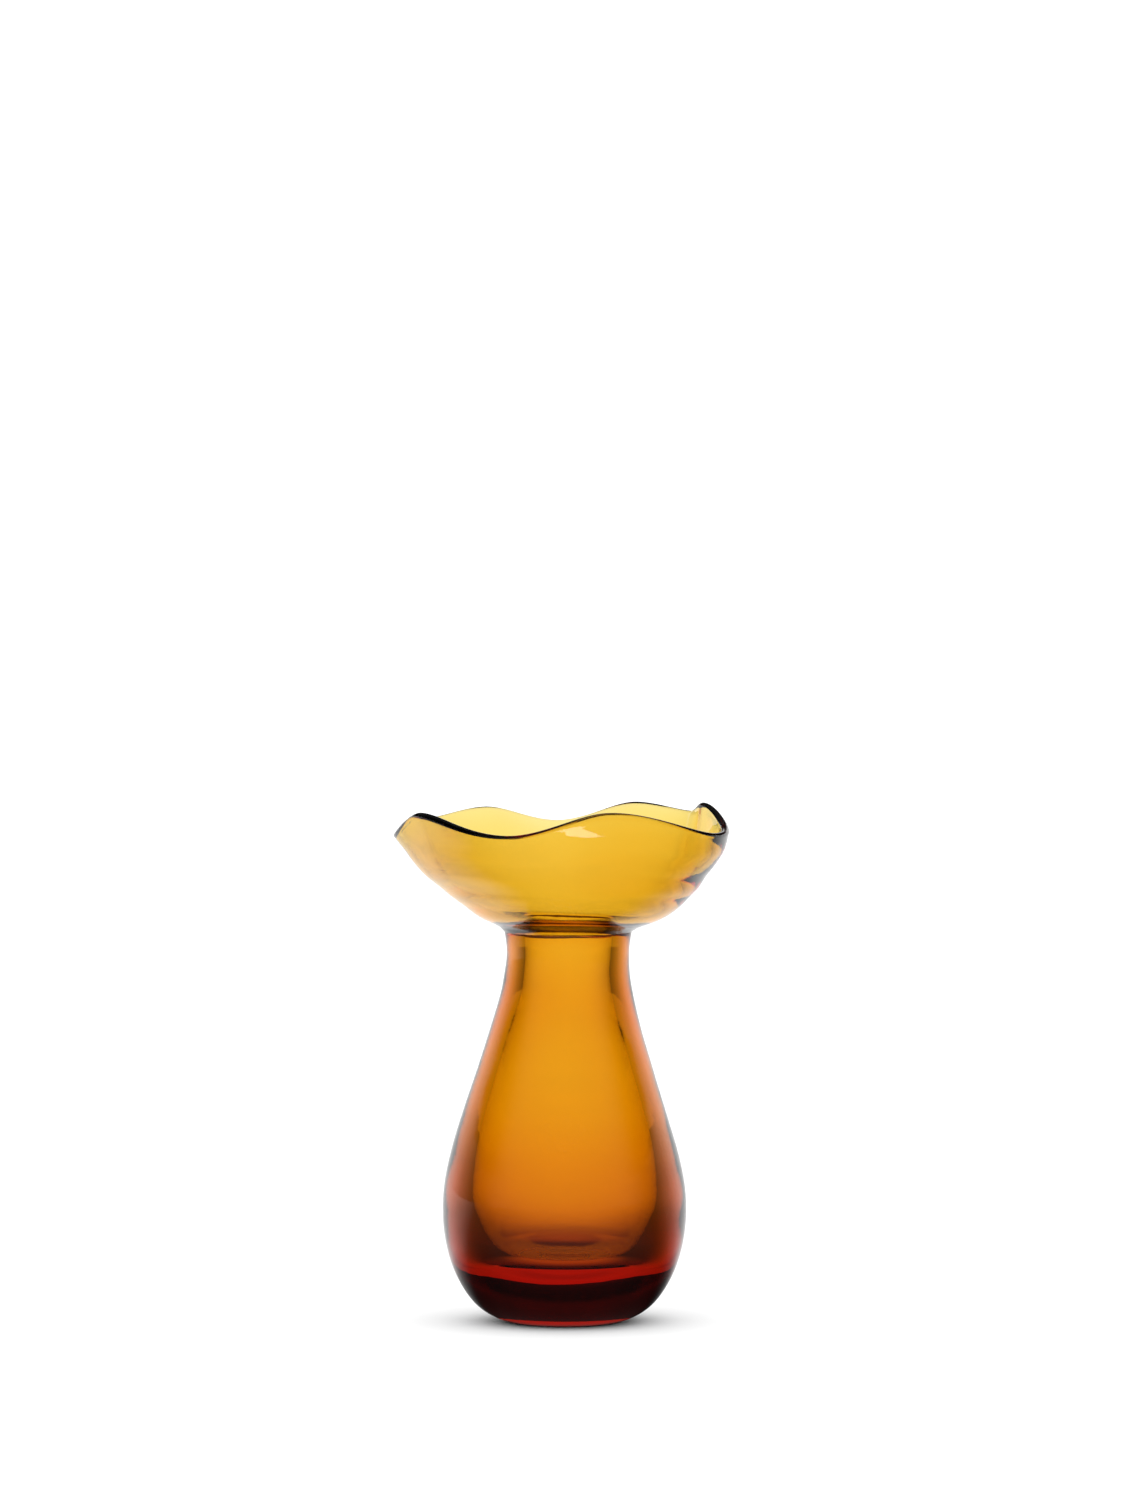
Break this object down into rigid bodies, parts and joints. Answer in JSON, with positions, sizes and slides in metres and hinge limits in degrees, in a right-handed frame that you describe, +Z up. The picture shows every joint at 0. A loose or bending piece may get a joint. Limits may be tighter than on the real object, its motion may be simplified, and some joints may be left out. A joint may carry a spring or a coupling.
{
  "type": "glass bud vase",
  "caption": "Hand-blown amber glass bud vase: heavy pear-shaped body, narrow neck, seal ring and a thin flared bowl with an uneven ruffled rim.",
  "frame": {"origin": "middle of the foot, on the surface the vase stands on", "axes": "+Z up along the vase's axis, -Y towards the front, +X to the right seen from the front"},
  "size_m": [0.0889, 0.0895, 0.1374],
  "materials": {
    "thick_amber_glass": "clear deep amber, fire-polished",
    "thin_amber_glass": "clear golden amber, fire-polished",
    "ground_amber_glass": "ground and part polished"
  },
  "bodies": {
    "root": {"body": "thick_amber_glass", "seal_ring": "thin_amber_glass", "bowl": "thin_amber_glass", "punty_wafer": "ground_amber_glass"}
  },
  "joints": []
}
